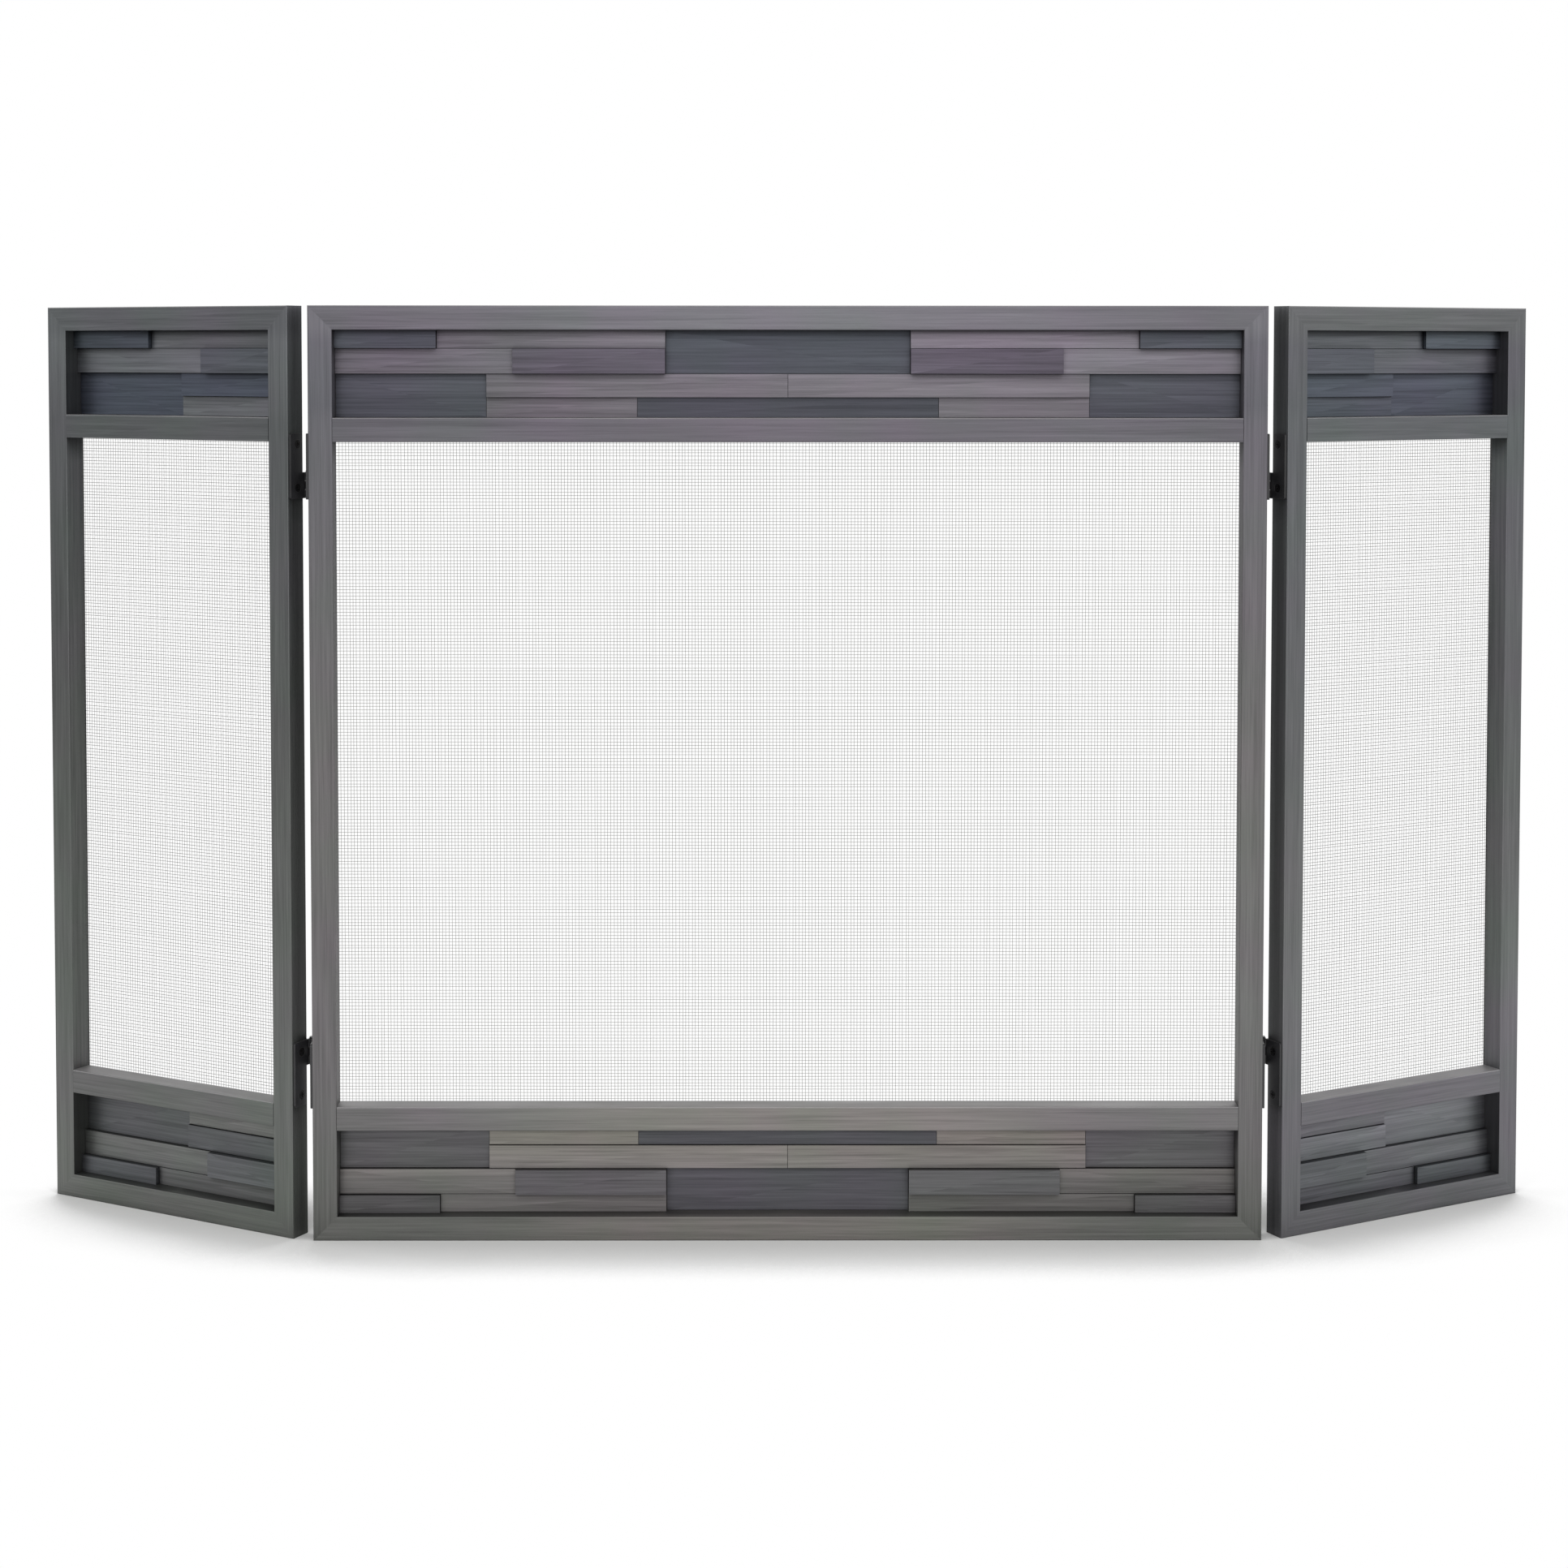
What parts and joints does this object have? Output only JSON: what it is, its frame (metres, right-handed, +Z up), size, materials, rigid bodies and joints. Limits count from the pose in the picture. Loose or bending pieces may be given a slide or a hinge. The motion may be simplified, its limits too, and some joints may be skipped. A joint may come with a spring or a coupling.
{
  "type": "fireplace screen",
  "caption": "Folding fireplace screen of square-tube frames with relief plaques above and below wire mesh, and hinged side panels that fold behind the centre.",
  "frame": {"origin": "middle of the floor area that the screen takes up at rest, on the floor", "axes": "+Z up, the front faces -Y, +X to the right as seen from in front"},
  "size_m": [1.2784, 0.1458, 0.775],
  "materials": {
    "frame_steel": "dark brushed pewter lacquer",
    "light_block": "brushed along its length, warm grey",
    "dark_block": "brushed along its length, blue grey",
    "plate_steel": "matt charcoal",
    "strip_steel": "matt charcoal",
    "woven_mesh": "matt charcoal woven wire",
    "hinge_black": "satin black",
    "pin_steel": "satin black",
    "screw_steel": "black oxide"
  },
  "bodies": {
    "centre_panel": {"centre_left_stile": "frame_steel", "centre_right_stile": "frame_steel", "centre_top_rail": "frame_steel", "centre_upper_rail": "frame_steel", "centre_lower_rail": "frame_steel", "centre_bottom_rail": "frame_steel", "centre_mesh": "woven_mesh", "centre_mesh_strips": "strip_steel", "centre_top_plate": "plate_steel", "centre_top_light_blocks": "light_block", "centre_top_dark_blocks": "dark_block", "centre_base_plate": "plate_steel", "centre_base_light_blocks": "light_block", "centre_base_dark_blocks": "dark_block", "centre_hinge_screws": "screw_steel", "left_upper_hinge_centre_leaf": "hinge_black", "left_upper_hinge_pin": "pin_steel", "left_lower_hinge_centre_leaf": "hinge_black", "left_lower_hinge_pin": "pin_steel", "right_upper_hinge_centre_leaf": "hinge_black", "right_upper_hinge_pin": "pin_steel", "right_lower_hinge_centre_leaf": "hinge_black", "right_lower_hinge_pin": "pin_steel"},
    "left_panel": {"left_outer_stile": "frame_steel", "left_inner_stile": "frame_steel", "left_top_rail": "frame_steel", "left_upper_rail": "frame_steel", "left_lower_rail": "frame_steel", "left_bottom_rail": "frame_steel", "left_mesh": "woven_mesh", "left_mesh_strips": "strip_steel", "left_top_plate": "plate_steel", "left_top_light_blocks": "light_block", "left_top_dark_blocks": "dark_block", "left_base_plate": "plate_steel", "left_base_light_blocks": "light_block", "left_base_dark_blocks": "dark_block", "left_hinge_screws": "screw_steel", "left_upper_hinge_side_leaf": "hinge_black", "left_lower_hinge_side_leaf": "hinge_black"},
    "right_panel": {"right_inner_stile": "frame_steel", "right_outer_stile": "frame_steel", "right_top_rail": "frame_steel", "right_upper_rail": "frame_steel", "right_lower_rail": "frame_steel", "right_bottom_rail": "frame_steel", "right_mesh": "woven_mesh", "right_mesh_strips": "strip_steel", "right_top_plate": "plate_steel", "right_top_light_blocks": "light_block", "right_top_dark_blocks": "dark_block", "right_base_plate": "plate_steel", "right_base_light_blocks": "light_block", "right_base_dark_blocks": "dark_block", "right_hinge_screws": "screw_steel", "right_upper_hinge_side_leaf": "hinge_black", "right_lower_hinge_side_leaf": "hinge_black"}
  },
  "joints": [
    {"name": "left_fold", "type": "hinge", "parent": "centre_panel", "child": "left_panel", "pos_m": [-0.3967, -0.04889, 0], "axis": [0, 0, 1], "range_deg": [-151.5, 28.5]},
    {"name": "right_fold", "type": "hinge", "parent": "centre_panel", "child": "right_panel", "pos_m": [0.3967, -0.04889, 0], "axis": [0, 0, 1], "range_deg": [-28.5, 151.5]}
  ]
}
